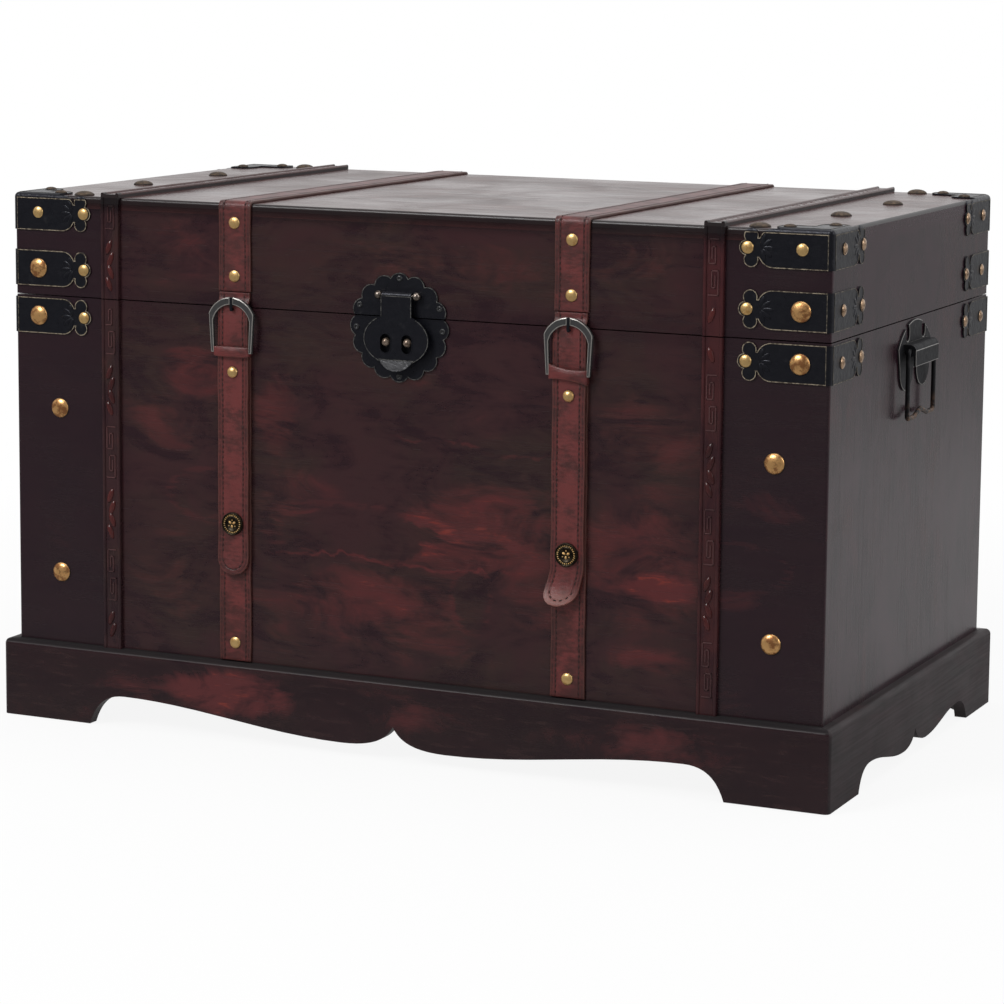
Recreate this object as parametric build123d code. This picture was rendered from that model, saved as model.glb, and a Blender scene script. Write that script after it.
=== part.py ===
from build123d import *
import os

os.makedirs("parts", exist_ok=True)

# A keepsake chest, in mm. X runs along its front, the front faces -Y and Z is up.
# The origin is on the floor, under the middle of the chest.

# Carcass: a mitred box that stands inside a mitred plinth, under a mitred lid
body_width = 642
body_depth = 362
body_base = 26
split_height = 320
split_gap = 0.8
lid_height = 75
board = 9
wood_radius = 2.5

# Plinth, with a scroll sawn out between its feet
plinth_height = 58
plinth_board = 9
plinth_radius = 4
block_leg = 40
front_foot = 76
front_shoulder_run = 30
front_shoulder_height = 23.5
front_lobe_offset = 42
front_lobe_height = 9
front_notch_height = 25
side_foot = 63
side_shoulder_run = 24
side_shoulder_height = 17.5
side_lobe_offset = 27
side_lobe_height = 7.5
side_notch_height = 19.5
toe_slope = 3
notch_slope = 2

# Carved battens, with a bead along both edges
batten_inset = 76
batten_width = 15
batten_field = 2.4
batten_bead = 1.2
bead_width = 2.6

# Corner straps: sheet metal bent round a corner, each arm ending in a trefoil
strap_metal = 1
arm_length = 66
arm_height = 26.5
arm_straight = 52.5
shoulder_radius = 11
neck_height = 13.4
lobe_radius = 5.2
lobe_centre = 57.4
low_strap_drop = 1.95
middle_strap_rise = 6.95
cap_arm = 42
cap_width = 20
cap_round = 9

# Domed nails
small_nail = 9
small_nail_rise = 1.9
large_nail = 15
large_nail_rise = 3.2
nail_near = 21
nail_far = 60
cap_nail_along = 34
cap_nail_in = 10
front_nail_inset = 38
front_nail_height_shares = [0.68, 0.205]
stud_insets = [55, 37]
stud_depth_shares = [0.475, 0.16]

# Leather straps, each with a loose tongue that hangs from the lid over the body
strap_offset_share = 0.207
leather = 2
strap_width = 26
tongue_width = 25
under_strap_rise = 1
under_strap_drop = 2
back_tail = 45
fold_rise = 11
fold_gap = 0.6
tongue_tip_rise = 65.5
tongue_lift = 0.9
strap_nail_drop = 14
strap_nail_rise = 11.5
under_nail_rise = 14.5
rivet_drop = 15
rivet_size = 8.6
rivet_rise = 2.9
snap_from_tip = 38
snap_size = 17
snap_rise = 2.6
snap_rim = 1
snap_boss_share = 0.2
stud_size = 9
stud_rise = 0.5

# Buckle: a horseshoe frame over the tongue, whose bar lies under the keeper
buckle_drop = 3.5
buckle_length = 39.5
buckle_width = 36.5
buckle_waist = 33
buckle_arch = 12
buckle_side = 3.2
buckle_crown = 5.2
buckle_metal = 2.4
bar_size = 1.6
prong_radius = 1.1
prong_reach = 9
keeper_width = 30
keeper_height = 8
keeper_leather = 1.5
keeper_back = 0.4

# Hasp lock: a scalloped plate in two halves, and a hasp with two slots
lock_drop = 7.5
lock_radius = 39
lock_lobes = 16
lock_lobe_radius = 8
lock_metal = 1.2
hasp_hinge_rise = 23
hasp_pin_radius = 1.2
hasp_ball_radius = 3
hasp_ball_offset = 15
knuckle_length = 23
knuckle_radius = 2.5
hasp_metal = 1.2
neck_width = 24
disc_width = 51
disc_height = 37
disc_drop = 8
slot_offset = 8.4
slot_width = 8
slot_height = 13.5
slot_drop = 11
post_radius = 2.7
post_rise = 2.3
lip_width = 26
lip_height = 8
lip_angle = 14
lip_drop = 23

# Handles: a shield plate rolled over the eye of a wire bail
plate_metal = 1.2
plate_drop = 1.5
plate_width = 76
plate_arch = 18.5
plate_depth = 34.5
plate_lobe_radius = 15
plate_lobe_offset = 19
plate_slot_offset = 18
plate_slot_width = 8
plate_slot_height = 12
plate_slot_drop = 8.3
bail_axis_drop = 20
bail_standoff = 6
wire_radius = 1.7
bail_leg_offset = 30
bail_drop = 48.5
bail_cusp = 4.5
bail_corner = 3
sleeve_width = 53
sleeve_wall = 2.6
flap_length = 11
flap_metal = 1.4

# Butt hinges on the back
hinge_offset_share = 0.3115
leaf_width = 50
leaf_height = 24
leaf_metal = 1.2
barrel_radius = 3
barrel_standoff = 3.2
hinge_pin_radius = 1.5
knuckle_gap = 0.3

# Running clearances, and how far a cut runs past what it cuts
pin_clearance = 0.05
cut_run = 20

# Places that follow from the sizes
front_face = -body_depth / 2
back_face = body_depth / 2
side_face = body_width / 2
body_top = split_height - split_gap / 2
lid_base = split_height + split_gap / 2
lid_top = split_height + lid_height
lid_board_base = lid_top - board
batten_offset = side_face - batten_inset - batten_width / 2
low_strap_height = split_height - low_strap_drop - arm_height / 2
middle_strap_height = split_height + middle_strap_rise + arm_height / 2
strap_offset = body_width * strap_offset_share
under_front = front_face - leather
tongue_back = under_front - tongue_lift
tongue_front = tongue_back - leather
fold_height = split_height + fold_rise
tongue_low = plinth_height + tongue_tip_rise
snap_height = tongue_low + snap_from_tip
buckle_top = fold_height - buckle_drop
buckle_bar_height = buckle_top - buckle_length
lock_front = front_face - lock_metal
lock_height = split_height - lock_drop
hasp_hinge_height = lock_height + hasp_hinge_rise
slot_centre = lock_height - slot_drop
plate_top = split_height - plate_drop
bail_axis_height = plate_top - bail_axis_drop
hinge_offset = body_width * hinge_offset_share


def span(x, y, z):
    """A block between three pairs of limits."""
    size = [high - low for low, high in (x, y, z)]
    centre = [(low + high) / 2 for low, high in (x, y, z)]
    return Pos(*centre) * Box(*size)


def rounded_block(width, depth, low, high, corner, top=0):
    """A block about the Z axis with round upright edges and, if asked, a round top edge."""
    block = span((-width / 2, width / 2), (-depth / 2, depth / 2), (low, high))
    block = fillet(block.edges().filter_by(Axis.Z), corner)
    return fillet(block.faces().sort_by(Axis.Z)[-1].edges(), top) if top else block


def four_corners(shape):
    """The front left shape and its mirror images at the other corners."""
    right = mirror(shape, Plane.YZ)
    return [shape, right, mirror(shape, Plane.XZ), mirror(right, Plane.XZ)]


def both_sides(shape):
    return [shape, mirror(shape, Plane.YZ)]


def facing_front(outline, surface, amount):
    """An outline drawn in X and Z, extruded forward from the surface."""
    return extrude(Plane.XZ.offset(-surface) * outline, amount)


def facing_right(outline, surface, amount):
    """An outline drawn in Y and Z, extruded to the right from the surface."""
    return extrude(Plane.YZ.offset(surface) * outline, amount)


def dome(diameter, rise):
    """A nail head on the XY plane: a flat base under a spherical cap."""
    radius = diameter / 2
    bend = (radius**2 + rise**2) / (2 * rise)
    cap = RadiusArc((radius, 0), (0, rise), -bend)
    face = make_face([Line((0, 0), (radius, 0)), cap, Line((0, rise), (0, 0))])
    return revolve(Plane.XZ * face, Axis.Z)


def dome_front(diameter, rise, x, surface, z):
    return Pos(x, surface, z) * Rot(X=90) * dome(diameter, rise)


def mitred_boards(frame, width, depth, thickness, low, high):
    """Cuts a rectangular frame at its mitres into front, back, left and right boards."""
    x, y = width / 2, depth / 2
    corners = [(-x, -y), (x, -y), (x - thickness, thickness - y), (thickness - x, thickness - y)]
    across = extrude(Pos(0, 0, low) * Polygon(*corners, align=None), high - low)
    corners = [(-x, -y), (thickness - x, thickness - y), (thickness - x, y - thickness), (-x, y)]
    along = extrude(Pos(0, 0, low) * Polygon(*corners, align=None), high - low)
    front, left = frame & across, frame & along
    return front, mirror(front, Plane.XZ), left, mirror(left, Plane.YZ)


def scroll(length, foot, run, shoulder, lobe_offset, lobe, notch):
    """The gap under a plinth board: an ogee from each foot to a notch in the middle."""
    toe = length / 2 - foot
    half = [
        Spline((toe, 0), (toe - run, shoulder), tangents=[(-1, toe_slope), (-1, 0)]),
        Spline((toe - run, shoulder), (lobe_offset, lobe), tangents=[(-1, 0), (-1, 0)]),
        Spline((lobe_offset, lobe), (0, notch), tangents=[(-1, 0), (-1, notch_slope)]),
    ]
    other = [mirror(edge, Plane.YZ) for edge in half]
    sole = Polyline((toe, 0), (toe, -cut_run), (-toe, -cut_run), (-toe, 0))
    return make_face(half + other + [sole])


def plinth():
    width, depth = body_width + 2 * plinth_board, body_depth + 2 * plinth_board
    frame = rounded_block(width, depth, 0, plinth_height, plinth_radius, plinth_radius)
    frame -= span((-side_face, side_face), (front_face, back_face), (-cut_run, plinth_height + cut_run))
    front = scroll(width, front_foot, front_shoulder_run, front_shoulder_height,
                   front_lobe_offset, front_lobe_height, front_notch_height)
    side = scroll(depth, side_foot, side_shoulder_run, side_shoulder_height,
                  side_lobe_offset, side_lobe_height, side_notch_height)
    frame -= facing_front(front, depth / 2 + cut_run, depth + 2 * cut_run)
    frame -= facing_right(side, -width / 2 - cut_run, width + 2 * cut_run)
    return mitred_boards(frame, width, depth, plinth_board, 0, plinth_height)


def plinth_blocks():
    """Triangular blocks in the plinth's corners, which carry the body."""
    corners = [(0, 0), (block_leg, 0), (0, block_leg)]
    block = extrude(Polygon(*corners, align=None), body_base)
    return group(four_corners(Pos(-side_face, front_face, 0) * block))


def body_boards():
    frame = rounded_block(body_width, body_depth, body_base, body_top, wood_radius)
    inside_x, inside_y = side_face - board, back_face - board
    frame -= span((-inside_x, inside_x), (-inside_y, inside_y), (0, body_top + cut_run))
    return mitred_boards(frame, body_width, body_depth, board, body_base, body_top)


def bottom_board():
    inside_x, inside_y = side_face - board, back_face - board
    return span((-inside_x, inside_x), (-inside_y, inside_y), (body_base, body_base + board))


def lid_block():
    return rounded_block(body_width, body_depth, lid_base, lid_top, wood_radius, wood_radius)


def lid_boards():
    inside_x, inside_y = side_face - board, back_face - board
    frame = rounded_block(body_width, body_depth, lid_base, lid_board_base, wood_radius)
    frame -= span((-inside_x, inside_x), (-inside_y, inside_y), (0, lid_top))
    top = lid_block() - span((-body_width, body_width), (-body_depth, body_depth), (0, lid_board_base))
    return mitred_boards(frame, body_width, body_depth, board, lid_base, lid_board_base), top


def batten(length):
    """A carved batten along +Z, flat on the XZ plane, with its beads towards -Y."""
    half = batten_width / 2
    rise = batten_field + batten_bead
    bead = half - bead_width
    crown = ThreePointArc((half, -batten_field), (half - bead_width / 2, -rise), (bead, -batten_field))
    edges = [Line((-half, 0), (half, 0)), Line((half, 0), (half, -batten_field)), crown,
             Line((bead, -batten_field), (-bead, -batten_field)), mirror(crown, Plane.YZ),
             Line((-half, -batten_field), (-half, 0))]
    return extrude(make_face(edges), length)


def upright_batten(x, low, high):
    return Pos(x, front_face, low) * batten(high - low)


def top_batten(x):
    """Lies on the lid from over the front batten to the back edge."""
    length = body_depth + batten_field
    return Pos(x, front_face - batten_field, lid_top) * Rot(X=-90) * batten(length)


def arm_outline():
    """One arm of a corner strap, from the corner at the origin to the tip of its trefoil."""
    plate = Pos(arm_straight / 2, 0) * Rectangle(arm_straight, arm_height)
    plate = fillet(plate.vertices().group_by(Axis.X)[-1], shoulder_radius)
    neck = Pos(lobe_centre / 2, 0) * Rectangle(lobe_centre, neck_height)
    lobe_rise = arm_height / 2 - lobe_radius
    lobes = [Pos(lobe_centre, side * lobe_rise) * Circle(lobe_radius) for side in (-1, 1)]
    tip = Pos(arm_length - lobe_radius, 0) * Circle(lobe_radius)
    outline = plate + neck + lobes + tip
    return outline + Pos(-strap_metal / 2, 0) * Rectangle(strap_metal, arm_height)


def cap_outline():
    """The top of a corner cap: two short arms along the lid's edges, with round ends."""
    arm = Pos((cap_arm - strap_metal) / 2, (cap_width - strap_metal) / 2) * Rectangle(
        cap_arm + strap_metal, cap_width + strap_metal)
    arm = fillet(arm.vertices().sort_by(Axis.X)[-2:], cap_round)
    return arm + mirror(arm, Plane(origin=(0, 0, 0), z_dir=(1, -1, 0)))


def rim(block):
    """The two edges round the top of a corner block that lie over its outer faces."""
    top = block.faces().sort_by(Axis.Z)[-1].edges()
    return [top.filter_by(Axis.X).sort_by(Axis.Y)[0], top.filter_by(Axis.Y).sort_by(Axis.X)[0]]


def corner_block(low, high, grown, capped):
    """Wood round a corner at the origin, grown outward by the thickness of what covers it."""
    reach = arm_length + cut_run
    block = span((-grown, reach), (-grown, reach), (low, high + grown if capped else high))
    upright = block.edges().filter_by(Axis.Z).group_by(Axis.X)[0].sort_by(Axis.Y)[0]
    block = fillet(upright, wood_radius + grown)
    if capped:
        curve = block.faces().sort_by(Axis.Z)[-1].edges().filter_by(GeomType.CIRCLE)
        block = fillet(rim(block) + curve, wood_radius + grown)
    return block


def corner_strap(capped):
    """Sheet metal round a corner at the origin, wood at +X and +Y, the arms' middle at Z 0."""
    half = arm_height / 2
    skin = corner_block(-arm_height, half if capped else arm_height, strap_metal, capped)
    skin -= corner_block(-arm_height - cut_run, half if capped else arm_height + cut_run, 0, capped)
    front = facing_front(arm_outline(), wood_radius, wood_radius + cut_run)
    diagonal = Plane(origin=(0, 0, 0), z_dir=(1, -1, 0))
    masks = front + mirror(front, diagonal)
    if capped:
        masks += extrude(Pos(0, 0, half - wood_radius) * cap_outline(), wood_radius + strap_metal)
    return skin & masks


def straps_at(height, capped=False):
    return group(four_corners(Pos(-side_face, front_face, height) * corner_strap(capped)))


def strap_nails(height, near=True):
    """Small nails on the arms of the straps at a height, with or without those near the front corners."""
    surface = front_face - strap_metal
    front = [nail_near, nail_far] if near else [nail_far]
    nails = [dome_front(small_nail, small_nail_rise, along - side_face, surface, height) for along in front]
    side = Pos(-side_face - strap_metal, 0, height) * Rot(Y=-90) * dome(small_nail, small_nail_rise)
    nails += [Pos(0, front_face + along, 0) * side for along in (nail_near, nail_far)]
    return [corner for nail in nails for corner in four_corners(nail)]


def large_at(x, height, surface):
    return dome_front(large_nail, large_nail_rise, x, surface, height)


def body_small_nails():
    nails = strap_nails(low_strap_height, near=False)
    under = dome_front(small_nail, small_nail_rise, -strap_offset, under_front, plinth_height + under_nail_rise)
    return group(nails + both_sides(under))


def body_large_nails():
    strap = large_at(nail_near - side_face, low_strap_height, front_face - strap_metal)
    nails = four_corners(strap)
    for share in front_nail_height_shares:
        height = plinth_height + (split_height - plinth_height) * share
        nails += both_sides(large_at(front_nail_inset - side_face, height, front_face))
    return group(nails)


def lid_small_nails():
    nails = strap_nails(lid_top - arm_height / 2) + strap_nails(middle_strap_height, near=False)
    top = dome(small_nail, small_nail_rise)
    for along, across in ((cap_nail_along, cap_nail_in), (cap_nail_in, cap_nail_along)):
        nails += four_corners(Pos(along - side_face, across + front_face, lid_top + strap_metal) * top)
    for height in (lid_top - strap_nail_drop, fold_height + strap_nail_rise):
        nails += both_sides(dome_front(small_nail, small_nail_rise, -strap_offset, under_front, height))
    tail = mirror(dome_front(small_nail, small_nail_rise, -strap_offset, under_front, lid_top - back_tail / 2),
                  Plane.XZ)
    return group(nails + both_sides(tail))


def lid_large_nails():
    nails = four_corners(large_at(nail_near - side_face, middle_strap_height, front_face - strap_metal))
    for inset, share in zip(stud_insets, stud_depth_shares):
        place = Pos(inset - side_face, -body_depth * share, lid_top)
        nails += four_corners(place * dome(large_nail, large_nail_rise))
    return group(nails)


def under_strap():
    half = strap_width / 2
    length = plinth_height + under_strap_rise, split_height - under_strap_drop
    return span((-half, half), (under_front, front_face), length)


def lid_strap():
    """Leather nailed over the lid from its front to its back, bent round both edges."""
    grown = rounded_block(body_width, body_depth + 2 * leather, lid_base, lid_top + leather,
                          wood_radius, wood_radius + leather)
    half = strap_width / 2
    reach = (-body_depth, 0), (fold_height + fold_gap / 2, lid_top + cut_run)
    tail = (0, body_depth), (lid_top - back_tail, lid_top + cut_run)
    band = span((-half, half), *reach) + span((-half, half), *tail)
    return (grown - lid_block()) & band


def tongue():
    half = tongue_width / 2
    high = fold_height - fold_gap / 2
    outline = Pos(0, (tongue_low + half + high) / 2) * Rectangle(tongue_width, high - tongue_low - half)
    outline += Pos(0, tongue_low + half) * Circle(half)
    shape = facing_front(outline, tongue_back, leather)
    hole = facing_front(Circle(prong_radius + pin_clearance), tongue_back + cut_run, 2 * cut_run)
    return shape - Pos(0, 0, buckle_top - prong_reach) * hole


def buckle_outline(width, waist, top, bottom, arch):
    """A horseshoe: a crown over sides that draw in towards the bar."""
    half = width / 2
    crown = ThreePointArc((-half, top - arch), (0, top), (half, top - arch))
    side = Line((half, top - arch), (waist / 2, bottom))
    return make_face([crown, side, Line((waist / 2, bottom), (-waist / 2, bottom)), mirror(side, Plane.YZ)])


def buckle():
    bottom = buckle_bar_height - bar_size / 2
    outer = buckle_outline(buckle_width, buckle_waist, buckle_top, bottom, buckle_arch)
    inner = buckle_outline(buckle_width - 2 * buckle_side, buckle_waist - 2 * buckle_side,
                           buckle_top - buckle_crown, bottom - cut_run, buckle_arch)
    frame = facing_front(outer - inner, tongue_front, buckle_metal)
    half = buckle_waist / 2 - buckle_side / 2
    bar = span((-half, half), (tongue_front - bar_size, tongue_front),
               (bottom, buckle_bar_height + bar_size / 2))
    seat = Pos(0, tongue_front - buckle_metal, 0) * Cylinder(prong_radius, 2 * cut_run)
    return frame + bar - Pos(0, 0, buckle_top) * seat


def prong():
    """Rises through the tongue and lies along a groove in the buckle's crown."""
    root = buckle_top - prong_reach
    lying = Pos(0, tongue_front - buckle_metal, (root + buckle_top) / 2) * Cylinder(prong_radius, prong_reach)
    rising = facing_front(Circle(prong_radius), tongue_back - leather / 2, leather / 2 + buckle_metal)
    return lying + Pos(0, 0, root) * rising + Pos(0, tongue_front - buckle_metal, root) * Sphere(prong_radius)


def keeper():
    """A leather loop round the tongue and the buckle's bar."""
    half = keeper_width / 2
    low, high = buckle_bar_height - keeper_height / 2, buckle_bar_height + keeper_height / 2
    loop = span((-half, half), (tongue_front - bar_size - keeper_leather, tongue_back + keeper_back), (low, high))
    gap = tongue_width / 2
    loop -= span((-gap, gap), (tongue_front - bar_size, tongue_back), (low - cut_run, high + cut_run))
    return loop - buckle()


def strap_rivet():
    return dome_front(rivet_size, rivet_rise, 0, tongue_front, buckle_bar_height - rivet_drop)


def snap_cap():
    """A round cap with a raised rim and a boss in the middle."""
    rim_radius, boss = snap_size / 2, snap_size * snap_boss_share
    profile = Polyline((0, 0), (rim_radius, 0), (rim_radius, snap_rise), (rim_radius - snap_rim, snap_rise),
                       (rim_radius - 2 * snap_rim, snap_rise / 2), (boss, snap_rise / 2),
                       (boss / 2, snap_rise), (0, snap_rise), close=True)
    cap = revolve(Plane.XZ * make_face(profile), Axis.Z)
    return Pos(0, tongue_front, snap_height) * Rot(X=90) * cap


def snap_studs():
    stud = facing_front(Pos(-strap_offset, snap_height) * Circle(stud_size / 2), under_front, stud_rise)
    return group(both_sides(stud))


def lock_plate(low, high):
    """The part of the scalloped lock plate between two heights."""
    ring = lock_radius - lock_lobe_radius
    lobes = PolarLocations(ring, lock_lobes) * Circle(lock_lobe_radius)
    outline = Pos(0, lock_height) * (Circle(ring) + lobes)
    return facing_front(outline, front_face, lock_metal) & span(
        (-lock_radius, lock_radius), (-body_depth, 0), (low, high))


def lock_posts():
    post = dome(2 * post_radius, post_rise)
    post = Pos(-slot_offset, lock_front, slot_centre) * Rot(X=90) * post
    return group(both_sides(post))


def hasp_pin():
    """A rod with a ball at each end, which rests on the upper lock plate."""
    rod = Rot(Y=90) * Cylinder(hasp_pin_radius, 2 * hasp_ball_offset)
    pin = rod + [Pos(side * hasp_ball_offset) * Sphere(hasp_ball_radius) for side in (-1, 1)]
    return Pos(0, lock_front - hasp_ball_radius, hasp_hinge_height) * pin


def hasp():
    """A knuckle, a neck and an oval plate with two slots and a turned out lip."""
    axis_y = lock_front - hasp_ball_radius
    back = axis_y - knuckle_radius + hasp_metal
    middle = lock_height - disc_drop
    neck = Pos(0, (middle + hasp_hinge_height) / 2) * Rectangle(neck_width, hasp_hinge_height - middle)
    disc = Pos(0, middle) * Ellipse(disc_width / 2, disc_height / 2)
    slots = [Pos(side * slot_offset, slot_centre) * Rot(0, 0, 90) * SlotOverall(slot_height, slot_width)
             for side in (-1, 1)]
    plate = facing_front(neck + disc - slots, back, hasp_metal)
    plate = plate + Pos(0, axis_y, hasp_hinge_height) * Rot(Y=90) * Cylinder(knuckle_radius, knuckle_length)
    lip_radius = (lip_width**2 / 4 + lip_height**2) / (2 * lip_height)
    lip = Pos(0, lip_radius - lip_height) * Circle(lip_radius) & Pos(0, -lip_height / 2) * Rectangle(
        lip_width, lip_height)
    lip = Pos(0, back, lock_height - lip_drop) * Rot(X=-lip_angle) * facing_front(lip, 0, hasp_metal)
    bore = Rot(Y=90) * Cylinder(hasp_pin_radius + pin_clearance, 2 * hasp_ball_offset)
    return plate + lip - Pos(0, axis_y, hasp_hinge_height) * bore


def shield():
    """The handle plate: an arched top, and two lobes below a cusp."""
    half = plate_width / 2
    shoulder, waist = plate_top - plate_arch, plate_top - plate_depth
    arch = ThreePointArc((-half, shoulder), (0, plate_top), (half, shoulder))
    side = Line((half, shoulder), (plate_lobe_offset + plate_lobe_radius, waist))
    base = Line((side @ 1), (-(side @ 1).X, waist))
    outline = make_face([arch, side, base, mirror(side, Plane.YZ)])
    lobe = Pos(plate_lobe_offset, waist) * Circle(plate_lobe_radius)
    slot = Rot(0, 0, 90) * SlotOverall(plate_slot_height, plate_slot_width)
    slot = Pos(plate_slot_offset, plate_top - plate_slot_drop) * slot
    return outline + both_sides(lobe) - both_sides(slot)


def handle_plate():
    """The right hand plate, with its sleeve rolled over the bail and a flap in front."""
    surface = side_face + plate_metal
    axis_x = side_face + bail_standoff
    bore = wire_radius + pin_clearance
    roll = Circle(bore + sleeve_wall)
    web = Pos(-bail_standoff / 2, (bore + sleeve_wall) / 2) * Rectangle(bail_standoff, bore + sleeve_wall)
    flap = Pos(bore + sleeve_wall - flap_metal / 2, -flap_length / 2) * Rectangle(flap_metal, flap_length)
    section = Plane.XZ * (roll + web + flap - Circle(bore))
    sleeve = Pos(axis_x, 0, bail_axis_height) * extrude(section, sleeve_width / 2, both=True)
    plate = facing_right(shield(), side_face, plate_metal)
    return plate + (sleeve & span((surface, surface + body_width), (-body_depth, body_depth), (0, lid_top)))


def bail():
    """A wire ring that hangs from the sleeve, with a cusp in the middle of its grip."""
    leg, low = bail_leg_offset, -bail_drop
    loop = FilletPolyline((leg, 0), (leg, low), (leg / 2, low), (0, low + bail_cusp), (-leg / 2, low),
                          (-leg, low), (-leg, 0), close=True, radius=bail_corner)
    path = Plane.YZ * loop
    wire = sweep(Plane(origin=path @ 0, z_dir=path % 0) * Circle(wire_radius), path)
    return Pos(side_face + bail_standoff, 0, bail_axis_height) * wire


def knuckles(places, length, radius):
    """Lengths of barrel along X at the given places along the hinge."""
    return [Pos(place) * Rot(Y=90) * Cylinder(radius, length) for place in places]


def hinge_leaf(lid_side):
    """One leaf on the back: the lid's carries the middle knuckle and the body's the outer two."""
    third = leaf_width / 3
    middle, outer = [0], [-third, third]
    own, other = (middle, outer) if lid_side else (outer, middle)
    half, side = leaf_width / 2, 1 if lid_side else -1
    limits = sorted((side * knuckle_gap, side * leaf_height))
    leaf = span((-half, half), (-barrel_standoff, leaf_metal - barrel_standoff), limits)
    leaf -= knuckles(other, third + 2 * knuckle_gap, barrel_radius + knuckle_gap)
    leaf += knuckles(own, third - knuckle_gap, barrel_radius)
    leaf -= Rot(Y=90) * Cylinder(hinge_pin_radius + pin_clearance, leaf_width + cut_run)
    return leaf


def on_hinges(shape):
    return group(both_sides(Pos(-hinge_offset, back_face + barrel_standoff, split_height) * shape))


def hinge_pins():
    return on_hinges(Rot(Y=90) * Cylinder(hinge_pin_radius, leaf_width))


def group(shapes):
    """Identical pieces kept together as separate solids."""
    return Compound([solid for shape in shapes for solid in shape.solids()])


plinth_front, plinth_back, plinth_left, plinth_right = plinth()
front_panel, back_panel, left_panel, right_panel = body_boards()
(lid_front, lid_back, lid_left, lid_right), lid_panel = lid_boards()
nodes = {
    "plinth_front": plinth_front,
    "plinth_back": plinth_back,
    "plinth_left": plinth_left,
    "plinth_right": plinth_right,
    "plinth_blocks": plinth_blocks(),
    "front_panel": front_panel,
    "back_panel": back_panel,
    "left_panel": left_panel,
    "right_panel": right_panel,
    "bottom_board": bottom_board(),
    "body_corner_straps": straps_at(low_strap_height),
    "body_small_nails": body_small_nails(),
    "body_large_nails": body_large_nails(),
    "snap_studs": snap_studs(),
    "lock_plate_lower": lock_plate(0, body_top),
    "lock_posts": lock_posts(),
    "body_hinge_leaves": on_hinges(hinge_leaf(False)),
    "hinge_pins": hinge_pins(),
    "lid_front": lid_front,
    "lid_back": lid_back,
    "lid_left": lid_left,
    "lid_right": lid_right,
    "lid_panel": lid_panel,
    "lid_corner_caps": straps_at(lid_top - arm_height / 2, capped=True),
    "lid_corner_straps": straps_at(middle_strap_height),
    "lid_small_nails": lid_small_nails(),
    "lid_large_nails": lid_large_nails(),
    "lid_hinge_leaves": on_hinges(hinge_leaf(True)),
    "lock_plate_upper": lock_plate(lid_base, lid_top),
    "hasp_pin": hasp_pin(),
    "hasp": hasp(),
}
paired = {
    "body_batten": upright_batten(0, plinth_height, body_top),
    "under_strap": under_strap(),
    "lid_front_batten": upright_batten(0, lid_base, lid_top),
    "lid_top_batten": top_batten(0),
    "lid_strap": lid_strap(),
    "tongue": tongue(),
    "buckle": buckle(),
    "prong": prong(),
    "keeper": keeper(),
    "strap_rivet": strap_rivet(),
    "snap_cap": snap_cap(),
}
for name, shape in paired.items():
    offset = batten_offset if "batten" in name else strap_offset
    nodes[f"{name}_left"] = Pos(-offset) * shape
    nodes[f"{name}_right"] = Pos(offset) * shape
for name, shape in (("handle_plate", handle_plate()), ("bail", bail())):
    nodes[f"{name}_right"] = shape
    nodes[f"{name}_left"] = mirror(shape, Plane.YZ)

for name, shape in nodes.items():
    export_step(shape, f"parts/{name}.step")
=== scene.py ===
import math

import bmesh
import bpy
from mathutils import Matrix, Vector


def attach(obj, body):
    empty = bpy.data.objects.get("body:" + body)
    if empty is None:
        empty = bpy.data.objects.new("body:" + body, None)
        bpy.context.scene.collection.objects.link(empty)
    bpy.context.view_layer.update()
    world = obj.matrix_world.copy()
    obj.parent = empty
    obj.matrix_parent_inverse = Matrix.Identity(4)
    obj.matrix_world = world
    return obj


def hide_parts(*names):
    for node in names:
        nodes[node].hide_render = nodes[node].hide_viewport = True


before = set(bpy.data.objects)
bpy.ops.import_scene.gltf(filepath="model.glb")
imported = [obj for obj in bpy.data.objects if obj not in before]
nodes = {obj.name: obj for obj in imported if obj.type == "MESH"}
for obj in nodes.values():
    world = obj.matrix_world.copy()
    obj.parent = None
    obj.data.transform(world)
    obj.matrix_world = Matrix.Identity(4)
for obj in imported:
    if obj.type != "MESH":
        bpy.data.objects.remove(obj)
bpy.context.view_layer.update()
mm = 0.001
bothSides = {"left": -1, "right": 1}


# Shader maths: a wire is a socket that can be added, multiplied and compared

class Wire:
    def __init__(self, finish, socket):
        self.finish, self.socket = finish, socket

    def maths(self, operation, *others):
        values = {at + 1: other for at, other in enumerate(others)}
        return self.finish.node("ShaderNodeMath", {"operation": operation}, {0: self, **values})

    def __add__(self, other):
        return self.maths("ADD", other)

    def __sub__(self, other):
        return self.maths("SUBTRACT", other)

    def __rsub__(self, other):
        return self.finish.node("ShaderNodeMath", {"operation": "SUBTRACT"}, {0: other, 1: self})

    def __mul__(self, other):
        return self.maths("MULTIPLY", other)

    __radd__, __rmul__ = __add__, __mul__

    def __abs__(self):
        return self.maths("ABSOLUTE")

    def most(self, other):
        return self.maths("MAXIMUM", other)

    def steps(self, low, high):  # 0 below low, 1 above high, smooth between
        return self.finish.node("ShaderNodeMapRange", {"interpolation_type": "SMOOTHSTEP"},
                                {0: self, 1: low, 2: high, 3: 0.0, 4: 1.0})


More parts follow.
